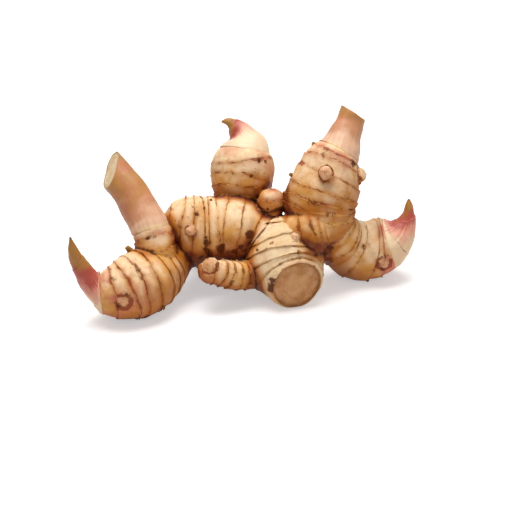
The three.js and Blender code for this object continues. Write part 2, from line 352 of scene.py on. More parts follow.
# Buds that never grew: low uneven knobs, each in a ring of its own. For each: its place, its radius, the
# way it points, how high it stands in radii, and how torn the collar round it is.
buds = [
    ((-31, -19, 42.5), 2.7, (-0.2, -0.95, 0.3), 0.9, 0.9),
    ((40, -10, 71.8), 3.9, (-0.25, -0.8, 0.55), 0.95, 1.4),
    ((60.2, 6.6, 64.6), 3.9, (0.95, -0.3, 0.2), 0.8, 1.1),
    ((-21.3, -31, 28), 3.8, (-0.3, -0.7, 0.6), 0.75, 1),
    ((24.3, -21, 40.2), 2.6, (0.1, -0.7, 0.7), 0.6, 0.9),
    ((-65, -50.9, 17.4), 3.6, (0, -0.98, 0.15), 0.75, 1.8),
    ((73.6, -0.8, 15.6), 3.6, (0.15, -0.98, 0.1), 0.75, 1.8),
]
BUD_AROUND = 36  # points round a bud
BUD_FOOT = 1.6  # how deep a bud is rooted in its branch, in its own radii
BUD_SHAPE = [(0, 0.9), (0.5, 1.12), (0.72, 1.02), (0.86, 0.8), (0.95, 0.5), (1, 0.15)]  # its girth
for number, (at, radius, way, height, _) in enumerate(buds):
    way = unit(np.array(way, float))
    foot, head = np.array(at) - way * radius * BUD_FOOT, np.array(at) + way * radius * height
    bud = grow(
        {"axis": [foot, (foot + head) / 2, head],
         "girth": [(share, radius * wide) for share, wide in BUD_SHAPE],
         "scars": [(0.6, 0, 0)], "blush": 0.5, "age": -0.2},
        40 + number, around=BUD_AROUND, ledge=0.5, lip=0.2, wave=0.3, end_ring=False,
    )
    rng = np.random.default_rng(80 + number)
    knobbly = 0.08 * radius * ripple(rng, full_turn(BUD_AROUND), 4, 0.4)
    bud["points"] = bud["points"] + bud["out"] * knobbly[:, None]
    bud["crease"] = np.full(bud["share"].shape, 0.1)
    bud["seam"] = bud["earth"] = np.zeros(bud["share"].shape)
    form[f"bud_{number}"] = bud

# The end of the front bulb is an old cut, dried to a flat brown face inside a thin rim of skin.
# Its rows, from the rim inwards: a share of the rim's radius, and a height over the rim.
CUT_FACE = [(0.985, 0.25), (0.955, -0.35), (0.92, -0.75), (0.87, -0.6), (0.8, -0.35), (0.7, -0.2),
            (0.6, -0.05), (0.54, 0.0), (0.5, 0.15), (0.44, 0.25), (0.35, 0.3), (0.24, 0.33), (0.12, 0.35),
            (0.05, 0.35)]
# What lies at every point of the rhizome
LAID = ("past", "ahead", "crease", "lay", "blush", "age", "run", "cut", "seam", "earth")


def closed_mesh(name, own, end_face=(), keys=LAID):
    """A closed mesh from a form's rows, with a point at each end, and what lies at each of its points."""
    rows = list(own["points"])
    laid = {key: list(own[key]) for key in keys}
    rim = rows[-1]
    centre = rim.mean(axis=0)
    for inward, height in end_face:
        rows.append(centre + (rim - centre) * inward + own["facing"][-1] * height)
        for key in keys:
            laid[key].append(laid[key][-1])
        laid["cut"][-1] = np.full(len(rim), 1 - inward)
        for key in {"past", "ahead", "edge"} & set(keys):
            laid[key][-1] = np.full(len(rim), FAR)
    grid = np.array(rows)
    count, around = grid.shape[:2]
    points = np.vstack([grid.reshape(-1, 3), grid[0].mean(axis=0), grid[-1].mean(axis=0)])
    foot, tip = count * around, count * around + 1
    j = np.arange(around)
    after = (j + 1) % around
    faces = []
    for low in range(0, foot - around, around):
        high = low + around
        faces += np.stack([low + j, low + after, high + after, high + j], axis=1).tolist()
    faces += [(foot, b, a) for a, b in zip(j.tolist(), after.tolist())]
    faces += [(tip, high + a, high + b) for a, b in zip(j.tolist(), after.tolist())]
    mesh = bpy.data.meshes.new(name)
    mesh.from_pydata((points * MM).tolist(), [], faces)
    flat = {}
    for key in keys:
        table = np.array(laid[key]).reshape(count * around, -1)
        flat[key] = np.vstack([table, table[:around].mean(axis=0), table[-around:].mean(axis=0)])
    return mesh, points, flat


def put_in_scene(name, data):
    made = bpy.data.objects.new(name, data)
    bpy.context.scene.collection.objects.link(made)
    return made


def worked_out(thing):
    """The mesh that an object's modifiers leave."""
    return bpy.data.meshes.new_from_object(thing.evaluated_get(bpy.context.evaluated_depsgraph_get()))


solids, source_points, source_laid = [], [], []
for name, own in form.items():
    mesh, points, flat = closed_mesh(name, own, CUT_FACE if name == "front_bulb" else ())
    solids.append(put_in_scene(name, mesh))
    source_points.append(points)
    source_laid.append(flat)

# All the forms become one skin.
others = bpy.data.collections.new("other_forms")
for solid in solids[1:]:
    others.objects.link(solid)
join = solids[0].modifiers.new("join", "BOOLEAN")
join.operation, join.operand_type, join.solver, join.collection = "UNION", "COLLECTION", "MANIFOLD", others
skin_mesh = worked_out(solids[0])
skin_mesh.name = "rhizome_skin"
skin_mesh.materials.clear()
for solid in solids:
    bpy.data.objects.remove(solid)
bpy.data.collections.remove(others)
for extra in [a.name for a in skin_mesh.attributes if not a.is_required and not a.is_internal]:
    skin_mesh.attributes.remove(skin_mesh.attributes[extra])

tree = KDTree(sum(len(points) for points in source_points))
for number, point in enumerate(np.vstack(source_points) * MM):
    tree.insert(point, number)
tree.balance()
nearest = np.array([tree.find(v.co)[1] for v in skin_mesh.vertices])
laid = {key: np.vstack([flat[key] for flat in source_laid])[nearest] for key in LAID}


def read_points(mesh):
    flat = np.empty(len(mesh.vertices) * 3)
    mesh.vertices.foreach_get("co", flat)
    return flat.reshape(-1, 3) / MM


def read_normals(mesh):
    flat = np.empty(len(mesh.vertices) * 3, dtype=np.float32)
    mesh.vertex_normals.foreach_get("vector", flat)
    return flat.reshape(-1, 3).astype(float)


def write_points(mesh, points):
    mesh.vertices.foreach_set("co", (points * MM).ravel())
    mesh.update()


def write_value(mesh, name, values):
    """Keeps a number, or three, for every point of a mesh, for its material to read."""
    values = np.asarray(values, dtype=np.float32).reshape(len(mesh.vertices), -1)
    wide = values.shape[1] == 3
    attribute = mesh.attributes.new(name, "FLOAT_VECTOR" if wide else "FLOAT", "POINT")
    attribute.data.foreach_set("vector" if wide else "value", values.ravel())


def shade_smooth(mesh):
    mesh.polygons.foreach_set("use_smooth", np.ones(len(mesh.polygons), dtype=bool))


def distance(points, at):
    return np.linalg.norm(points - at, axis=1)


def lumps(points, size, seed):
    """Smooth noise over points, about 1 high, with lumps of a given size in millimetres."""
    shift = Vector((seed * 17.3, seed * 5.1, seed * 9.7))
    return np.array([noise.noise(Vector(p) + shift) for p in points / size]) * 1.6


def unevenness(points):
    """How far the living surface stands in or out, the same for all that grows at one place."""
    return 0.5 * lumps(points, 15, 1) + 0.22 * lumps(points, 6, 2) + 0.07 * lumps(points, 2.2, 3)


# The seams between branches are eased, and the whole skin is made a little uneven.
points = read_points(skin_mesh)
pairs = np.array([e.vertices[:] for e in skin_mesh.edges])
degree = np.bincount(pairs.ravel(), minlength=len(points))[:, None]


def evened(values):
    """Each point's mean over the points next to it on the skin."""
    total = np.zeros_like(values)
    np.add.at(total, pairs[:, 0], values[pairs[:, 1]])
    np.add.at(total, pairs[:, 1], values[pairs[:, 0]])
    return total / degree


def eased(values, rounds, share):
    """Values that have moved a share of the way towards their neighbours' mean, round after round."""
    for _ in range(rounds):
        values = values + (evened(values) - values) * share
    return values


points = eased(points, 5, 0.6 * laid["seam"])

# On the outside of the bend under the tall branch the skin has stretched smooth, and its scars have faded:
# the middle of each place, and its radius.
bend = [((47, -9, 39), 9), ((43.5, -15.5, 47), 7)]
stretched = np.max([smooth_fall(1.6 - distance(points, at) / radius) for at, radius in bend], axis=0)
points = eased(points, 14, 0.7 * stretched[:, None])
# There the painted crease shade and the dark seam band fade as well.
for key in ("crease", "earth"):
    laid[key] = laid[key] * (1 - 0.8 * stretched[:, None])
write_value(skin_mesh, "stretched", stretched)
write_points(skin_mesh, points)
evenly = np.where(laid["cut"][:, 0] > 0, 0.3, 1.0)  # a knife left the cut face flatter
points += read_normals(skin_mesh) * (unevenness(points) * evenly)[:, None]
points[:, 2] = np.maximum(points[:, 2], 0)
write_points(skin_mesh, points)
shade_smooth(skin_mesh)
for key in ("past", "ahead", "crease", "lay", "blush", "cut", "earth"):
    write_value(skin_mesh, key, laid[key])

# Painted light and shade: the skin is painted paler where it faces up and browner where it faces down,
# by how far each point looks down, with each branch's age added.
upward = eased(read_normals(skin_mesh)[:, 2:], 8, 1)
write_value(skin_mesh, "shade_tone", 0.5 - 0.5 * upward + laid["age"])

# A torn brown collar lies round the foot of every bud.
collar, knob = np.zeros(len(points)), np.zeros(len(points))
wander, patch = 0.5 * lumps(points, 1.9, 9), 0.8 + 0.5 * lumps(points, 3, 6)
for at, radius, way, _, ragged in buds:
    way = unit(np.array(way, float))
    height = (points - at) @ way
    off_axis = np.linalg.norm(points - at - height[:, None] * way, axis=1)
    on_it = np.exp(-(height / radius) ** 2)
    ring = np.exp(-((off_axis + wander - 1.15 * radius) / (0.7 * ragged)) ** 2)
    inside = max(ragged - 1.1, 0) * smooth_fall(1.2 * radius - off_axis)
    collar = np.maximum(collar, (ragged * ring + inside) * patch * on_it)
    knob = np.maximum(knob, smooth_fall((1.1 * radius - off_axis) / 0.8) * (on_it > 0.2))
write_value(skin_mesh, "collar", collar)
write_value(skin_mesh, "knob", knob)

# Old wounds and rubbed places have healed to dark cork: where each lies, how wide it is and how dark.
wounds = [
    ((-23.3, -18.4, 38), 2.0, 0.9), ((-23.2, -18.8, 35), 2.8, 1.0), ((-23.4, -19, 31), 3.0, 1.0),
    ((-21.5, -17.8, 27), 3.0, 0.9), ((-0.5, -14.3, 38.7), 2.8, 1.0), ((-4.6, -16.5, 32), 2.4, 0.9),
    ((-3, -15.5, 30), 2.6, 0.9), ((-15, -18.2, 33), 2.2, 0.9), ((-16.2, -18, 30.5), 3.0, 0.9),
    ((-8.1, -16.7, 29), 2.6, 0.9), ((-27, -17.3, 26), 2.4, 0.7), ((-28.2, -12.3, 49.5), 2.0, 0.9),
    ((5.4, 10.6, 71.5), 2.6, 0.75), ((8, 12, 70), 1.8, 0.7), ((0.8, 4.9, 64.4), 1.0, 1.0),
    ((55.1, 2.7, 72.7), 2.4, 0.9), ((82.7, 20, 15), 2.4, 0.8), ((61.8, -2.4, 25), 2.4, 0.5),
    ((65.4, 0.9, 26), 1.8, 0.5), ((71, 0, 18), 2.4, 0.6), ((73.5, -2.5, 12), 2.6, 0.7),
    ((-63.7, -51.6, 21.6), 2.6, 0.6), ((-67.5, -52.6, 16), 2.2, 0.6), ((-62, -53, 16), 2.0, 0.6),
    ((-69.7, -47.5, 27.6), 1.9, 0.7), ((-69.3, -49, 25.5), 1.7, 0.6), ((42.9, -10.8, 29.5), 2.8, 0.8),
    ((3.7, -20.8, 32.3), 1.5, 0.8), ((11.7, -22.9, 37.3), 1.5, 0.8), ((11.9, -32.3, 20), 2.2, 1.0),
    ((11.4, -32.2, 16.8), 2.8, 1.0), ((10.6, -31.6, 13.5), 2.6, 1.0), ((35, -21.3, 30), 2.2, 0.8),
    ((50.5, -10.7, 56.8), 1.0, 0.9), ((50.5, -9.5, 58.8), 0.9, 0.9), ((-53.4, -26.6, 41.9), 1.3, 0.9),
    ((9.7, -4, 48.9), 1.1, 0.9), ((-30, 46, 20), 2.4, 0.7), ((-38, 17, 40), 2.2, 0.8),
    ((30, 14, 44), 2.4, 0.8), ((52, 26, 60), 2.0, 0.8), ((-8, 34, 60), 1.8, 0.8),
    ((-62, -22, 24), 2.0, 0.7), ((70, 29, 20), 2.2, 0.7),
]
wound = [dark * np.exp(-(distance(points, at) / radius) ** 2) for at, radius, dark in wounds]
write_value(skin_mesh, "wound", np.max(wound, axis=0))

# Here and there a torn edge is wide and rusty: the middle of each place, and its radius.
rusty = [
    ((69.3, 2.6, 27.6), 3.5), ((69.2, -1, 23.2), 3.5), ((68.6, -2.9, 18), 3.5), ((79.1, 9.1, 21), 4),
    ((55.1, 1.4, 72.1), 4), ((50, -6.5, 66), 4), ((38, -15.5, 56), 4), ((48.9, -13.2, 49.8), 2.5),
    ((42.5, 0.8, 80.2), 3), ((26.9, 4.9, 70.8), 4), ((4.3, 10.8, 72.6), 4), ((-15.4, 17.9, 74.6), 4),
    ((-2.2, 5.3, 67.2), 3), ((-15.3, 6.6, 57.4), 3), ((-62.5, -46.8, 30.1), 3), ((-60.8, -50.5, 24.5), 4),
    ((-58.1, -50.8, 14.8), 4), ((-70.1, -48.2, 27.9), 3), ((-73.8, -37.2, 29.5), 3), ((26.5, -18, 46.5), 3),
    ((18.8, -6.9, 46), 4), ((6.4, -23, 33.3), 3), ((52.4, -1.8, 11.4), 3), ((-34, 40, 24), 4),
    ((60, 25, 58), 4),
]
rust = [smooth_fall(1.5 - distance(points, at) / radius) for at, radius in rusty]
write_value(skin_mesh, "rust", np.max(rust, axis=0))


def paint(code):
    """A linear colour from a six-figure code."""
    srgb = [int(code[i:i + 2], 16) / 255 for i in (0, 2, 4)]
    return tuple(c / 12.92 if c <= 0.04045 else ((c + 0.055) / 1.055) ** 2.4 for c in srgb) + (1.0,)


class Nodes:
    """A tree of nodes, written one node a line."""

    def __init__(self, tree):
        self.tree = tree
        self.place = None  # what its noise is laid out by
        self.colour = None  # the colour painted so far

    def add(self, kind, inputs=None, **settings):
        made = self.tree.nodes.new(kind)
        for key, value in settings.items():
            setattr(made, key, value)
        for key, value in (inputs or {}).items():
            if isinstance(value, bpy.types.NodeSocket):
                self.tree.links.new(value, made.inputs[key])
            else:
                made.inputs[key].default_value = value
        return made

    def out(self, kind, inputs=None, **settings):
        """The first thing that a node puts out."""
        return self.add(kind, inputs, **settings).outputs[0]

    def math(self, operation, a, b=0.0, clamp=False):
        return self.out("ShaderNodeMath", {0: a, 1: b}, operation=operation, use_clamp=clamp)

    def times(self, a, b, clamp=False):
        return self.math("MULTIPLY", a, b, clamp)

    def plus(self, a, b, clamp=False):
        return self.math("ADD", a, b, clamp)

    def minus(self, a, b):
        return self.math("SUBTRACT", a, b)

    def step(self, value, low, high, to_low=0.0, to_high=1.0):
        """A soft step from to_low, where value is at low, to to_high, where it is at high."""
        ends = {"Value": value, "From Min": low, "From Max": high, "To Min": to_low, "To Max": to_high}
        return self.out("ShaderNodeMapRange", ends, interpolation_type="SMOOTHSTEP")

    def blend(self, share, a, b):
        """The first colour with a share of the second over it. Either can be a six-figure code."""
        a, b = (paint(colour) if isinstance(colour, str) else colour for colour in (a, b))
        return self.add("ShaderNodeMix", {0: share, 6: a, 7: b}, data_type="RGBA").outputs[2]

    def over(self, share, colour):
        """Paints a share of a colour over what is there."""
        self.colour = self.blend(share, self.colour, colour)

    def read(self, name, socket="Fac"):
        """What lies at each point of the mesh under a name."""
        return self.add("ShaderNodeAttribute", attribute_name=name).outputs[socket]

    def noise(self, scale, detail, distortion=0.0, rough=0.5, place=None):
        ends = {"Vector": place or self.place, "Scale": scale, "Detail": detail, "Distortion": distortion}
        return self.out("ShaderNodeTexNoise", {**ends, "Roughness": rough})

    def surface(self, rough, relief, height, strength, shine, soft=()):
        """The end of a material: its roughness, and relief up to a height in metres. Living skin is soft:
        a share of the light goes in and spreads so far in red, green and blue, times a scale."""
        ends = {"Strength": strength, "Distance": height, "Height": relief}
        bump = self.out("ShaderNodeBump", ends)
        ends = {"Base Color": self.colour, "Roughness": rough, "Normal": bump, "Specular IOR Level": shine}
        ends.update(zip(("Subsurface Weight", "Subsurface Radius", "Subsurface Scale"), soft))
        shader = self.out("ShaderNodeBsdfPrincipled", ends)
        self.add("ShaderNodeOutputMaterial", {"Surface": shader})


def add_sockets(tree, in_out, sockets):
    """Gives a node group its named sockets, each of a kind, and returns them."""
    return {name: tree.interface.new_socket(name=name, in_out=in_out, socket_type="NodeSocket" + kind)
            for name, kind in sockets.items()}


def new_material(name):
    material = bpy.data.materials.new(name)
    material.use_nodes = True
    material.node_tree.nodes.clear()
    n = Nodes(material.node_tree)
    n.place = n.add("ShaderNodeTexCoord").outputs["Object"]
    return material, n


# Fibres that run along a branch, soft blotches and a fine grain, and a skin colour with painted light and
# shade, for every skin on the plant
fibres = bpy.data.node_groups.new("plant_fibres", "ShaderNodeTree")
add_sockets(fibres, "INPUT", {"Lay": "Vector", "Place": "Vector", "Fineness": "Float",
                              "Blotch Size": "Float", "Depth": "Float"})
add_sockets(fibres, "OUTPUT", {"Streak": "Float", "Blotch": "Float", "Grain": "Float", "Skin": "Color"})
n = Nodes(fibres)
given = n.add("NodeGroupInput").outputs
n.place = given["Place"]
drawn = n.out("ShaderNodeMapping", {"Vector": given["Lay"], "Scale": (0.045, 1.0, 1.0)})
# Painted light and shade: pale on top, golden on the sides, and dark brown underneath and between the
# branches, by the depth given
depth = n.plus(given["Depth"], n.step(n.noise(60, 4), 0.3, 0.7, -0.12, 0.12))
n.colour = "F4D09E"
n.over(n.step(depth, 0.08, 0.4), "DE9C4A")
n.over(n.step(depth, 0.38, 0.66), "BE7022")
n.over(n.step(depth, 0.66, 1.0), "702200")
n.add("NodeGroupOutput", {
    "Streak": n.noise(given["Fineness"], 4, rough=0.65, place=drawn),
    "Blotch": n.noise(given["Blotch Size"], 3),
    "Grain": n.noise(900.0, 3),
    "Skin": n.colour,
})


def plant_skin(n, lay, fineness, blotch_size, depth):
    """Paints the group's skin, and returns its streak, blotch and grain."""
    ends = {"Lay": lay, "Place": n.place, "Fineness": fineness, "Blotch Size": blotch_size, "Depth": depth}
    streak, blotch, grain, n.colour = n.add("ShaderNodeGroup", ends, node_tree=fibres).outputs
    return streak, blotch, grain


skin_finish, n = new_material("galangal_skin")
lay = n.read("lay", "Vector")
past, ahead, blush, cut = (n.read(key) for key in ("past", "ahead", "blush", "cut"))
collar, knob, wound, rust = (n.read(key) for key in ("collar", "knob", "wound", "rust"))
near = n.math("MINIMUM", past, ahead)
# Painted shade: how far the skin faces down, with each branch's age, plus the painted crease shade.
depth = n.plus(n.read("shade_tone"), n.read("crease"))
# The fine wrinkles of this skin run round the branch.
round_it = n.out("ShaderNodeMapping", {"Vector": lay, "Scale": (22.0, 0.12, 0.12)})
streak, blotch, grain = plant_skin(n, round_it, 1.1, 190.0, depth)
# Pale patches at random, much stronger where the skin faces up and fainter near the scars: pale skin and
# painted highlight.
fresh_and_lit = n.times(n.step(n.noise(85, 4, 0.4, 0.6), 0.34, 0.6, 0.05, 0.5),
                n.step(depth, 0.3, 0.8, 1, 0.1))
n.over(n.times(fresh_and_lit, n.step(near, 0.3, 2.4, 0.35, 1.0)), "FBE3C4")
# Brown stains at random, weaker where the skin faces up and full where it faces sideways, down or into a
# crease: stain and painted shade.
stain_and_shade = n.times(n.step(n.noise(52, 5, 0.8, 0.6), 0.52, 0.68, 0, 0.38),
                n.step(depth, 0.0, 0.35, 0.4, 1))
n.over(stain_and_shade, "B8722C")
n.over(n.step(blotch, 0.56, 0.72, 0, 0.4), "CC863E")
n.over(n.step(streak, 0.5, 0.75, 0, 0.22), "A9692F")
tint = n.plus(n.step(n.noise(110, 3), 0.4, 0.65), n.step(near, 0.2, 2.2, 0.45, 0.0))
n.over(n.times(blush, tint, True), "D2785F")
knobby = n.blend(n.step(n.noise(380, 3), 0.35, 0.65), "C98A58", "F0BE93")
n.over(n.times(knob, 0.6), knobby)

# The torn edge at each leaf scar: a line that comes and goes, brown or red, and painted fainter where the
# skin faces up, as light washes it out there
wobble = n.step(n.noise(330, 5, rough=0.75), 0.25, 0.75, -0.5, 0.5)
off = n.math("MINIMUM", n.math("ABSOLUTE", n.minus(past, wobble)), n.math("ABSOLUTE", n.plus(ahead, wobble)))
broken = n.noise(135, 5, rough=0.7)
width = n.plus(n.step(broken, 0.42, 0.74, 0.1, 0.6), n.times(rust, n.step(broken, 0.3, 0.7, 0.1, 0.8)))
line = n.step(n.math("DIVIDE", off, width), 0.4, 1.3, 1.0, 0.0)
line = n.times(line, n.math("MAXIMUM", n.step(broken, 0.38, 0.62, 0.06, 1.0), n.times(rust, 0.8)))
line = n.times(line, n.step(n.read("stretched"), 0, 1, 1.0, 0.12))
line = n.times(line, n.step(depth, -0.3, 0.25, 0.62, 1.0))
redder = n.plus(n.step(n.noise(70, 2), 0.36, 0.56, 0, 0.8), n.times(blush, 0.7))
redder = n.plus(redder, n.times(rust, 0.5), True)
smudge = n.times(n.step(near, 0.0, 1.9, 1.0, 0.0), n.step(n.noise(95, 4), 0.4, 0.66, 0.05, 0.42))
n.over(smudge, "AC662E")
n.over(n.times(line, 0.85), n.blend(redder, "6E2A0A", "A03A1E"))

# Darkest brown along the seams between branches, a torn collar round each bud, and cork over old wounds.
ragged = n.noise(240, 4, rough=0.65)
earth = n.step(n.plus(n.read("earth"), n.step(ragged, 0.3, 0.7, -0.3, 0.2)), 0.22, 0.8)
n.over(n.times(earth, 0.88), "3C1002")
torn = n.step(n.plus(collar, n.step(ragged, 0.3, 0.7, -0.55, 0.15)), 0.25, 0.8)
n.over(n.times(torn, 0.85), "8A341A")
torn_skin = n.plus(n.step(ragged, 0.3, 0.7, -0.4, 0.12),
                   n.step(n.noise(420, 3, 1.0), 0.3, 0.7, -0.14, 0.1))
corky = n.plus(wound, torn_skin)
n.over(n.step(corky, -0.05, 0.5, 0, 0.6), "A9652C")
n.over(n.times(n.step(corky, 0.25, 0.5), 0.85), "4A1404")
patchy = n.times(n.step(n.noise(150, 4, 0.6, 0.65), 0.6, 0.66), n.step(near, 0.4, 2.0, 1.0, 0.0))
n.over(n.times(patchy, 0.8), "7A4420")


def spots(n, place, scale, size, blur, share):
    """One soft spot in a share of the cells that the place falls into."""
    cells = n.add("ShaderNodeTexVoronoi", {"Vector": place, "Scale": scale, "Randomness": 1.0}).outputs
    chosen = n.step(cells["Color"], 1 - share - 0.01, 1 - share + 0.01)
    return n.times(n.step(cells["Distance"], size, size + blur, 1.0, 0.0), chosen)


n.over(n.times(spots(n, n.place, 260.0, 0.06, 0.1, 0.15), 0.75), "5A3016")
# Short dark ticks across the branch, where single fibres of a leaf tore off
strewn = n.out("ShaderNodeMapping", {"Vector": lay, "Scale": (0.75, 0.27, 0.27)})
tick = n.times(spots(n, strewn, 1.0, 0.08, 0.12, 0.25), n.step(ragged, 0.38, 0.55, 0.1, 0.85))
n.over(tick, "6A2C10")

# The old cut: flesh dried to tan, with the ring of the core showing, and a darker bruised edge
spread = n.plus(cut, n.step(n.noise(120, 4), 0.3, 0.7, -0.05, 0.05))
face = n.blend(n.step(n.noise(170, 5, rough=0.65), 0.32, 0.7), "D6A072", "B97C48")
face = n.blend(n.step(spread, 0.45, 0.75, 0, 0.45), face, "DEAA72")
core = n.step(n.math("ABSOLUTE", n.minus(spread, 0.44)), 0.0, 0.05, 0.35, 0.0)
face = n.blend(core, face, "B87C50")
face = n.blend(n.step(spread, 0.02, 0.2, 0.75, 0.0), face, "84501F")
n.over(n.step(cut, 0.0, 0.02), face)

relief = n.minus(n.times(streak, 0.35), n.times(line, 0.5))
for part, share in ((grain, 0.22), (ragged, 0.3), (patchy, 0.35)):
    relief = n.plus(relief, n.times(part, share))
rough = n.step(n.noise(220, 3), 0.3, 0.7, 0.42, 0.62)
n.surface(rough, relief, height=0.0007, strength=0.7, shine=0.12,
          soft=(0.15, (1.0, 0.5, 0.2), 0.003))

skin_mesh.materials.append(skin_finish)
rhizome_skin = put_in_scene("rhizome_skin", skin_mesh)
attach(rhizome_skin, "root")
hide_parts("rhizome")

# ------------------------------------------------- torn scales
# Every leaf scar keeps scraps of its leaf: dry brown chips, thin and papery, torn off along the ring.
# They still hold by one edge and stand a little off the skin.

SCALES = 750  # how many there are
ON_SCAR = 0.25  # they stand nearer than this to a scar
LEAST_LEAN, MOST_LEAN = (-0.25, -0.5, -0.5), (0.25, 0.1, 0.5)  # of one copy, about its own axes, in radians


def standing_on_skin(name, shape, sizes, chosen, size, finish, seed):
    """Copies of a small shape that stand on chosen points of the skin, in one piece. The shape is drawn with
    its height along Z and its short side along the branch, and takes its sizes from the tree's inputs."""
    stand = bpy.data.meshes.new(name + "_stand")
    stand.from_pydata((points[chosen] * MM).tolist(), [], [])
    write_value(stand, "out", outward[chosen])
    write_value(stand, "along", laid["run"][chosen])
    write_value(stand, "size", size)
    carrier = put_in_scene(name + "_stand", stand)

    tree = bpy.data.node_groups.new(name, "GeometryNodeTree")
    for in_out in ("INPUT", "OUTPUT"):
        add_sockets(tree, in_out, {"Geometry": "Geometry"})
    sizes = {**sizes, "Seed": seed, "Material": finish}
    kinds = {int: "Int", float: "Float", bpy.types.Material: "Material"}
    named = add_sockets(tree, "INPUT", {key: kinds[type(value)] for key, value in sizes.items()})
    n = Nodes(tree)
    given = n.add("NodeGroupInput").outputs
    one = shape(n, given)
    out, along, big = (
        n.out("GeometryNodeInputNamedAttribute", {0: key}, data_type=kind)
        for key, kind in (("out", "FLOAT_VECTOR"), ("along", "FLOAT_VECTOR"), ("size", "FLOAT")))
    upright = n.out("FunctionNodeAlignRotationToVector", {"Vector": out}, axis="Z")
    turned = n.out("FunctionNodeAlignRotationToVector", {"Rotation": upright, "Vector": along},
                   axis="X", pivot_axis="Z")
    loose = n.out("FunctionNodeRandomValue", {0: LEAST_LEAN, 1: MOST_LEAN, 8: given["Seed"]},
                  data_type="FLOAT_VECTOR")
    tip = n.out("FunctionNodeEulerToRotation", {0: loose})
    rotation = n.out("FunctionNodeRotateRotation", {0: turned, 1: tip}, rotation_space="LOCAL")
    copies = n.out("GeometryNodeInstanceOnPoints", {"Points": given["Geometry"], "Instance": one,
                                                    "Rotation": rotation, "Scale": big})
    real = n.out("GeometryNodeRealizeInstances", {0: copies})
    ends = {"Vector": n.out("GeometryNodeInputPosition"), "Scale": 900.0, "Detail": 1.0}
    shake = n.add("ShaderNodeTexNoise", ends).outputs["Color"]
    shake = n.out("ShaderNodeVectorMath", {0: shake, 1: (0.5, 0.5, 0.5)}, operation="SUBTRACT")
    shake = n.out("ShaderNodeVectorMath", {0: shake, "Scale": given["Raggedness"]}, operation="SCALE")
    torn = n.out("GeometryNodeSetPosition", {"Geometry": real, "Offset": shake})
    painted = n.out("GeometryNodeSetMaterial", {0: torn, "Material": given["Material"]})
    n.add("NodeGroupOutput", {0: painted})

    grown = carrier.modifiers.new(name, "NODES")
    grown.node_group = tree
    for key, socket in named.items():
        grown[socket.identifier] = sizes[key]
    mesh = worked_out(carrier)
    mesh.name = name
    bpy.data.objects.remove(carrier)
    shade_smooth(mesh)
    piece = put_in_scene(name, mesh)
    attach(piece, "root")


def chip(n, given):
    """A flat torn chip, thin and longer across the branch than along it."""
    blank = n.out("GeometryNodeMeshUVSphere", {"Segments": 8, "Rings": 5, "Radius": 0.5})
    ends = {0: given["Width"], 1: given["Length"], 2: given["Thickness"]}
    size = n.out("ShaderNodeCombineXYZ", ends)
    return n.out("GeometryNodeTransform", {"Geometry": blank, "Scale": size})


scale_finish, n = new_material("dry_scale")
n.colour = n.blend(n.step(n.noise(160, 3), 0.38, 0.62), "85502A", "C08C52")
n.over(n.step(n.noise(90, 2), 0.55, 0.7), "A5543A")
rough = n.step(n.noise(400, 2), 0.3, 0.7, 0.6, 0.8)
n.surface(rough, n.noise(1500, 2), height=0.0003, strength=0.5, shine=0.15)

outward = read_normals(skin_mesh)
nearest_scar = np.minimum(laid["past"], laid["ahead"])[:, 0]
# Clear of the seams between branches, and of the table
on_scar = np.flatnonzero((nearest_scar < ON_SCAR) & (laid["seam"][:, 0] < 0.3) & (points[:, 2] > 0.6))
pick = np.random.default_rng(5)
chosen = pick.choice(on_scar, SCALES, replace=False)
standing_on_skin(
    "torn_scales", chip,
    {"Width": 0.0007, "Length": 0.0015, "Thickness": 0.0003, "Raggedness": 0.0006},
    chosen, pick.uniform(0.4, 1.3, len(chosen)) ** 1.5, scale_finish, 11,
)

# -------------------------------------------------- root stubs
# Thin roots grew from the scars, mostly underneath. They are trimmed off short, and what is left of each
# is a small brown peg of fibres, thicker at its foot.

STUBS = 46  # how many grow underneath
# The others: the place of each, and its size
LONE_STUBS = [((-66, -25, 36), 1.5), ((20.5, 6, 66), 1.1), ((-21, -1, 53), 0.6), ((63, 10, 60), 0.8)]


def peg(n, given):
    """A short peg, thicker at its foot, which sits in the skin."""
    blank = n.out("GeometryNodeMeshCone", {
        "Vertices": 12, "Side Segments": 4, "Fill Segments": 2, "Radius Top": given["Tip Radius"],
        "Radius Bottom": given["Foot Radius"], "Depth": given["Height"]})
    down = n.out("ShaderNodeCombineXYZ", {2: n.times(given["Height"], -0.3)})
    return n.out("GeometryNodeTransform", {"Geometry": blank, "Translation": down})


stub_finish, n = new_material("root_stub")
n.colour = n.blend(n.step(n.noise(300, 3), 0.35, 0.65), "7B5424", "A8793B")
rough = n.step(n.noise(500, 2), 0.3, 0.7, 0.55, 0.75)
n.surface(rough, n.noise(1200, 3), height=0.0004, strength=0.6, shine=0.15)

underneath = on_scar[outward[on_scar, 2] < -0.2]
chosen = list(pick.choice(underneath, STUBS, replace=False))
size = list(pick.uniform(0.4, 0.85, len(chosen)))
for at, big in LONE_STUBS:
    chosen.append(int(np.argmin(distance(points, at))))
    size.append(big)
standing_on_skin(
    "root_stubs", peg,
    {"Tip Radius": 0.0008, "Foot Radius": 0.0013, "Height": 0.0024, "Raggedness": 0.0007},
    np.array(chosen), np.array(size), stub_finish, 12,
)

# ------------------------------------------------------- stems
# What is left of two leafy stems: leaf sheaths rolled tightly round each other, cut across with a knife.
# Each stands on the end of its branch, and its outermost sheath closes with a long overlapping edge.

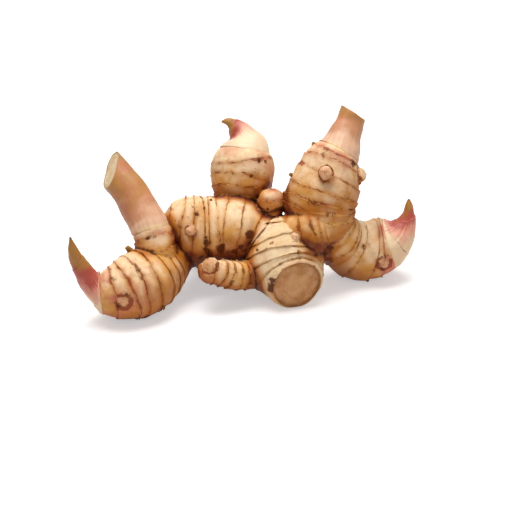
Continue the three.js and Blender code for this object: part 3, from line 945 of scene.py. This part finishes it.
# A cut goes through a point and looks one way, and overlap is the angle where the outermost sheath closes.
# The four colours say where along a stem, or a shoot, its colour changes.
stems = {
    "stem_left": {
        "on": "left_neck",
        "axis": [(-55.3, -12.8, 46), (-59.3, -8.3, 51.5), (-66, -1, 60), (-75, 6, 67.5), (-84, 13, 75)],
        "girth": [(0, 9.6), (0.2, 9.7), (0.45, 9.5), (0.75, 9), (1, 9.2)],
        "cut": ((-74.8, 5.8, 67.3), (-0.86, -0.18, 0.48)),
        "overlap": 1.1,
        "colours": (0.04, 0.12, 0.42, 0.66),
    },
    "stem_right": {
        "on": "right_tower",
        "axis": [(51.5, 20, 83), (54, 23.5, 87.5), (59.5, 31, 101)],
        "girth": [(0, 12.3), (0.25, 9.5), (0.5, 7.8), (1, 7.4)],
        "cut": ((56, 27, 93.2), (0.5, 0.24, 0.8)),
        "overlap": 5.3,
        "colours": (0.03, 0.42, 0.62, 0.9),
    },
}
SEAM = 0.3  # gap that the solids leave between the end of a branch and what stands on it
SUNK = 1.5  # how far the foot of a stem or a shoot sits in its branch
STEM_GRAIN = 9  # the grain of a stem is laid out as if this were its radius
WRAP = 0.5  # step in radius at the long edge of the outermost sheath
OVAL = 0.16  # how far a stem is from round
PROUD = 0.1  # how far a sheath stands out past the solid it dresses
THINNEST = 0.15  # no sheath is thinner than this, even at its point
CLASP, CLASP_REACH = 0.25, 5.0  # how unevenly its foot clasps the branch, and how far up
DRAWN_IN = 0.7  # how much thinner the sunken part of the foot is
LAPPED = ("climb", "lay", "cut", "edge")  # what lies at every point of a stem or a shoot

# The cut shows the rolled sheaths as thin rings with gaps between them.
ROLLED_FACE = [(0.97, 0.05), (0.93, -0.1), (0.9, -0.25), (0.87, -0.25), (0.84, -0.1), (0.79, 0.0),
               (0.72, -0.02), (0.68, -0.15), (0.65, -0.15), (0.61, 0.0), (0.52, 0.03), (0.46, -0.02),
               (0.43, -0.12), (0.4, -0.1), (0.35, 0.02), (0.26, 0.05), (0.15, -0.05), (0.06, -0.05)]


class Sheath:
    """A stem's or shoot's own axis and sections, from a little inside the branch that carries it."""

    def __init__(self, spec, around):
        branch = form[spec["on"]]
        out = branch["facing"][-1]
        self.spec = spec
        self.angle = full_turn(around)
        self.line, self.length = even_line([branch["line"][-1] + out * SEAM, *spec["axis"]])
        self.facing, self.across, self.beside = sections(self.line, self.length, spec["girth"], out)
        self.start = -SUNK / self.length
        self.torn = ripple(np.random.default_rng(len(spec["girth"])), self.angle, 14, 0.4)

    def away(self, share):
        return outward_at(self.angle, self.across, self.beside, share)

    def at(self, share, change):
        """Points at a share of the way along. The foot comes unevenly out of the branch's drawn-in end."""
        along = (share - self.start) * self.length
        clasp = CLASP * self.torn * (1 - smooth_fall(along / CLASP_REACH))
        clasp = clasp - DRAWN_IN * (1 - smooth_fall(along / SUNK))
        radius = girth_at(self.spec["girth"], share) + PROUD + change + clasp
        return between(self.line, share) + np.maximum(radius, THINNEST)[..., None] * self.away(share)

    def climb(self, share):
        """How far the colour has changed: 0 at the foot, 1 at the end, and the four changes between."""
        return np.interp(share, (0, *self.spec["colours"], 1), (0, 0.2, 0.4, 0.6, 0.8, 1))


def rolled(spec, seed, around=96, rows=70):
    """A stem of rolled sheaths, ending at its cut."""
    sheath = Sheath(spec, around)
    rng = np.random.default_rng(seed)
    turn = ((sheath.angle - spec["overlap"]) / (2 * math.pi)) % 1
    oval = OVAL * ripple(rng, sheath.angle, 4, 1)

    def change(share):
        return (oval + WRAP * (0.5 - turn)) * smooth_fall(share * 4)

    through, look = (np.array(part, float) for part in spec["cut"])
    look = unit(look)
    fine = np.linspace(0.2, 1, 200)[:, None] + 0 * sheath.angle
    beyond = (sheath.at(fine, change(fine)) - through) @ look > 0
    last = fine[np.argmax(beyond, axis=0), 0]
    share = sheath.start + np.linspace(0, 1, rows)[:, None] * (last - sheath.start)
    return {
        "points": sheath.at(share, change(share)),
        "facing": [look],
        "climb": sheath.climb(share / last.mean()),
        "lay": grain_at(sheath.angle, share, sheath.length, STEM_GRAIN),
        "cut": 0 * share,
        "edge": np.minimum(turn, 1 - turn) * 2 * math.pi * girth_at(spec["girth"], np.maximum(share, 0)),
    }


def finished_piece(name, own, end_face, material):
    """A whole piece from its rows, standing for the solid of the same name."""
    mesh, points, flat = closed_mesh(name + "_sheath", own, end_face, LAPPED)
    for key in LAPPED:
        write_value(mesh, key, flat[key])
    # Painted shade: the further a point faces down, the higher its shade tone.
    write_value(mesh, "shade_tone", 0.3 - 0.5 * read_normals(mesh)[:, 2])
    write_points(mesh, points + read_normals(mesh) * unevenness(points)[:, None])
    shade_smooth(mesh)
    mesh.materials.append(material)
    piece = put_in_scene(name + "_sheath", mesh)
    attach(piece, "root")
    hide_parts(name)


def up_the_sheath(n, drift, bands):
    """Paints what a stem or a shoot changes to on its way up: where each begins, and where it is full."""
    for low, high, code in bands:
        n.over(n.step(drift, low, high), code)


stem_finish, n = new_material("stem_sheath")
climb, cut, edge, shade_tone = (n.read(key) for key in ("climb", "cut", "edge", "shade_tone"))
# Painted light and shade from the shade tone, through the fibres' colour.
streak, blotch, grain = plant_skin(n, n.read("lay", "Vector"), 1.3, 70.0, shade_tone)
drift = n.plus(climb, n.step(blotch, 0.3, 0.7, -0.12, 0.12))
up_the_sheath(n, drift, ((-0.1, 0.12, "E9BA98"), (0.25, 0.5, "CF9069"), (0.5, 0.75, "BF8247"),
                         (0.75, 1.0, "B98549")))
# Painted shade: browner where the stem faces down.
n.over(n.step(shade_tone, 0.15, 0.65, 0, 0.6), "A96236")
n.over(n.step(streak, 0.45, 0.75, 0, 0.3), "9C6A34")
blot = n.step(n.noise(65, 2), 0.55, 0.7, 0, 0.5)
n.over(n.times(blot, n.step(climb, 0.25, 0.4)), "BE6A50")
n.over(n.step(edge, 0.0, 0.5, 0.35, 0.0), "7C552F")
n.over(n.step(climb, 0.95, 1.0, 0, 0.4), "8E6C42")
inner = n.blend(n.step(n.noise(110, 4), 0.35, 0.7), "EACB9C", "D3AD78")
inner = n.blend(n.step(cut, 0.02, 0.18, 0.8, 0.0), inner, "946C3C")
n.over(n.step(cut, 0.0, 0.02), inner)
relief = n.plus(n.times(streak, 0.6), n.times(grain, 0.15))
rough = n.step(streak, 0.3, 0.7, 0.38, 0.52)
n.surface(rough, relief, height=0.0006, strength=0.5, shine=0.35,
          soft=(0.2, (1.0, 0.45, 0.2), 0.004))

for seed, (name, spec) in enumerate(stems.items()):
    finished_piece(name, rolled(spec, 60 + seed), ROLLED_FACE, stem_finish)

# ------------------------------------------------------ shoots
# Three living shoots, each a soft point wrapped in coloured sheaths, on the ends of three branches. An outer
# sheath ends in a slanted, frayed edge, and what it holds comes out of it a little thinner.

# An edge has its middle, how far it rises and the side it is high on. Pale says how far the colours come
# later on one side, and which side that is.
shoots = {
    "shoot_left": {
        "on": "left_bulb",
        "axis": [(-81, -41, 21), (-84.5, -42, 27), (-88, -43, 35), (-90, -44, 43), (-91, -45, 50.5)],
        "girth": [(0, 10.8), (0.12, 8.4), (0.35, 5.4), (0.6, 4.2), (0.8, 2.6), (1, 0.4)],
        "colours": (0.04, 0.16, 0.58, 0.92),
        "edges": [(0.08, 1.0, (1, 0, 0)), (0.58, 3.0, (1, 0, 0))],
        "pale": (0.14, (-0.7, 0.1, -0.7)),
    },
    "shoot_top": {
        "on": "top_bulb",
        "axis": [(-2.9, 30, 76.1), (-5, 31, 79), (-7.3, 32, 81.8), (-9.5, 33, 83.9),
                 (-11.8, 33, 85.4), (-14.2, 33, 85.7), (-15.8, 33, 85.4)],
        "girth": [(0, 13.8), (0.24, 11), (0.38, 8), (0.53, 5.8), (0.69, 4), (0.83, 2.3), (0.93, 1.2),
                  (1, 0.4)],
        "colours": (0.3, 0.42, 0.62, 0.985),
        "edges": [(0.7, 1.0, (1, 0, 0))],
        "pale": (0.17, (0.7, -0.2, 0.7)),
    },
    "shoot_right": {
        "on": "right_bulb",
        "axis": [(84.3, 14, 27.5), (87, 15, 33), (88.3, 16, 38.5), (88, 17, 45.8)],
        "girth": [(0, 14), (0.14, 12.2), (0.28, 9.6), (0.51, 6), (0.72, 3.2), (0.88, 1.7), (1, 0.4)],
        "colours": (0.26, 0.44, 0.68, 0.97),
        "edges": [(0.15, 0.5, (1, 0, 0)), (0.58, 3.0, (1, 0, 0))],
        "pale": (0.2, (0.8, 0, -0.6)),
    },
}
SHEATH = 0.45  # thickness of a sheath at its edge
EDGE_WAVE = 0.3  # how far that edge wanders
SHOOT_OVAL = 0.14  # how far a shoot is from round
SHOOT_GRAIN = 7  # the grain of a shoot is laid out as if this were its radius
SHEATH_STEPS = np.concatenate([np.linspace(0, 0.94, 30), [0.975, 0.992, 1]])


def wrapped(spec, seed, around=80):
    """A shoot in an outer sheath and an inner one, which comes out of it a little thinner."""
    sheath = Sheath(spec, around)
    rng = np.random.default_rng(seed)
    rings = [np.full(around, sheath.start)]
    for middle, rise, high_side in spec["edges"]:
        high = sheath.away(np.full((1, around), middle))[0] @ unit(np.array(high_side, float))
        rings.append(middle + (rise * high + EDGE_WAVE * ripple(rng, sheath.angle, 12, 0.6)) / sheath.length)
    rings.append(np.ones(around))
    share, inset, ahead = [], [], []
    for k, (low, high) in enumerate(zip(rings, rings[1:])):
        f = SHEATH_STEPS[:, None]
        share.append(low + (high - low) * f)
        inset.append(SHEATH * min(k, 1) * (1 - smooth_fall(f / 0.7)) + 0 * share[-1])
        ahead.append((1 - f) * (high - low) * sheath.length + FAR * (k == len(spec["edges"])))
    share, inset, ahead = (np.vstack(part) for part in (share, inset, ahead))
    change = SHOOT_OVAL * ripple(rng, sheath.angle, 4, 1) * smooth_fall(share * 4) - inset
    amount, pale_side = spec["pale"]
    pale = amount * (sheath.away(share) @ unit(np.array(pale_side, float)))
    return {
        "points": sheath.at(share, change),
        "climb": sheath.climb(share - pale * smooth_fall((1 - share) * 2)),
        "lay": grain_at(sheath.angle, share, sheath.length, SHOOT_GRAIN),
        "cut": 0 * share,
        "edge": np.minimum(ahead, FAR),
    }


shoot_finish, n = new_material("shoot_sheath")
climb, edge, shade_tone = (n.read(key) for key in ("climb", "edge", "shade_tone"))
# Painted light and shade from the shade tone, through the fibres' colour.
streak, blotch, grain = plant_skin(n, n.read("lay", "Vector"), 1.5, 120.0, shade_tone)
drift = n.plus(climb, n.step(streak, 0.3, 0.7, -0.06, 0.06))
drift = n.plus(drift, n.step(blotch, 0.3, 0.7, -0.06, 0.06))
n.over(0.6, "F8DFBE")
up_the_sheath(n, drift, ((0.08, 0.3, "E7A086"), (0.28, 0.5, "B54E3E"), (0.54, 0.7, "B07A34"),
                         (0.8, 0.97, "5F4420")))
lined = n.times(n.step(streak, 0.5, 0.8, 0, 0.35), n.step(drift, 0.1, 0.35, 0.35, 1.0))
n.over(lined, "8C4A32")
frayed = n.step(n.noise(170, 4, rough=0.7), 0.4, 0.6, 0.15, 0.85)
n.over(n.times(n.step(edge, 0.0, 0.6, 1.0, 0.0), frayed), "7A2C18")
relief = n.plus(n.times(streak, 0.6), n.times(grain, 0.15))
rough = n.step(streak, 0.3, 0.7, 0.36, 0.5)
n.surface(rough, relief, height=0.0005, strength=0.45, shine=0.35,
          soft=(0.2, (1.0, 0.4, 0.2), 0.003))

for seed, (name, spec) in enumerate(shoots.items()):
    finished_piece(name, wrapped(spec, 70 + seed), (), shoot_finish)

# ------------------------------------------------------ studio
# A white table under a wide soft lamp, a weaker lamp in front, and the camera. None of it is part of the
# object. Table and air are pure white where they are looked at, and darker for the light they give.


def looked_at(n):
    """1 for what the camera sees, straight or through a shine, and 0 for light that only spreads."""
    ray = n.add("ShaderNodeLightPath").outputs
    mirrored = n.math("MAXIMUM", ray["Is Glossy Ray"], ray["Is Transmission Ray"])
    return n.math("MAXIMUM", ray["Is Camera Ray"], mirrored)


table_white, n = new_material("table_white")
board = n.out("ShaderNodeBsdfDiffuse", {"Color": (0.8, 0.8, 0.8, 1)})
glow = {"Color": (1, 1, 1, 1), "Strength": n.times(looked_at(n), 0.44)}
both = n.out("ShaderNodeAddShader", {0: board, 1: n.out("ShaderNodeEmission", glow)})
n.add("ShaderNodeOutputMaterial", {"Surface": both})
table_mesh = bpy.data.meshes.new("table")
table_mesh.from_pydata([(-4, -4, 0), (4, -4, 0), (4, 6, 0), (-4, 6, 0)], [], [(0, 1, 2, 3)])
table_mesh.materials.append(table_white)
table = put_in_scene("table", table_mesh)

world = bpy.data.worlds.new("studio_air")
world.use_nodes = True
world.node_tree.nodes.clear()
n = Nodes(world.node_tree)
bright = n.plus(n.times(looked_at(n), 0.78), 0.22)
air = n.out("ShaderNodeBackground", {"Color": (1, 1, 1, 1), "Strength": bright})
n.add("ShaderNodeOutputWorld", {"Surface": air})
bpy.context.scene.world = world

for name, spot, aim, size, energy in (
    ("overhead_lamp", (-0.05, 0.06, 0.98), (0, 0, 0.03), (0.8, 0.6), 10.3),
    ("front_lamp", (0.5, -0.95, 0.6), (0, 0, 0.04), (1.0, 0.8), 1.9),
):
    lamp = bpy.data.lights.new(name, "AREA")
    lamp.shape, lamp.energy = "RECTANGLE", energy
    lamp.size, lamp.size_y = size
    lamp_object = put_in_scene(name, lamp)
    lamp_object.location = spot
    lamp_object.rotation_euler = (Vector(aim) - Vector(spot)).to_track_quat("-Z", "Y").to_euler()

camera = bpy.data.cameras.new("camera")
camera.lens, camera.sensor_width = 85, 36
camera_object = put_in_scene("camera", camera)
camera_object.location = (0.004, -0.6087, 0.3020)
camera_object.rotation_euler = (math.radians(65), 0, 0)
bpy.context.scene.camera = camera_object
bpy.context.scene.view_settings.view_transform = "Standard"
